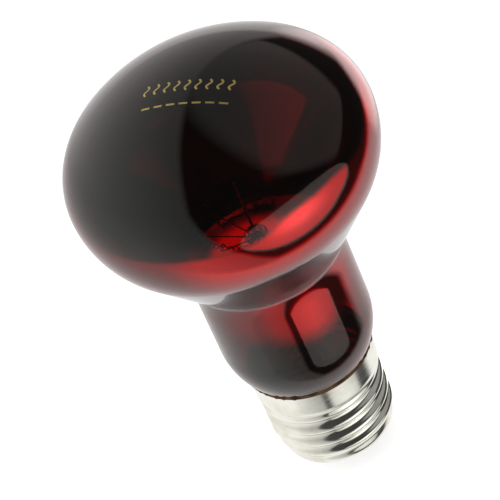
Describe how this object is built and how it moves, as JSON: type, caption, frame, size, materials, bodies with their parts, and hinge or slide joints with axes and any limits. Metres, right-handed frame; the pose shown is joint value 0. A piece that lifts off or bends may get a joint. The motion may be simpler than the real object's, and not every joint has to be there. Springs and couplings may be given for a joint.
{
  "type": "infrared reflector lamp",
  "caption": "Red glass reflector bulb for infrared heat, with a domed front, a mirrored conical back and neck, and a round screw cap.",
  "frame": {"origin": "tip of the centre contact on the lamp's axis", "axes": "+Z along the lamp's axis from the contact to the dome, +Y towards the side lead's solder"},
  "size_m": [0.063, 0.063, 0.1026],
  "materials": {
    "red_glass": "polished",
    "mirror_film": "mirror",
    "cement": "matte",
    "nickel_plate": "polished",
    "black_glass": "polished",
    "contact_brass": "satin",
    "solder": "satin",
    "clear_glass": "polished",
    "nickel_wire": "satin",
    "copper_wire": "satin",
    "tungsten": "matte",
    "molybdenum": "satin"
  },
  "bodies": {
    "root": {"glass_envelope": "red_glass", "reflector_coating": "mirror_film", "capping_cement": "cement", "screw_shell": "nickel_plate", "cap_insulator": "black_glass", "contact_plate": "contact_brass", "contact_solder": "solder", "rim_solder": "solder", "stem_flare": "clear_glass", "exhaust_tube": "clear_glass", "support_rod": "clear_glass", "inner_lead_a": "nickel_wire", "inner_lead_b": "nickel_wire", "press_seal_a": "copper_wire", "press_seal_b": "copper_wire", "outer_lead_side": "copper_wire", "outer_lead_centre": "copper_wire", "fuse_wire": "nickel_wire", "filament": "tungsten", "support_wire_1": "molybdenum", "support_wire_2": "molybdenum", "support_wire_3": "molybdenum"}
  },
  "joints": []
}
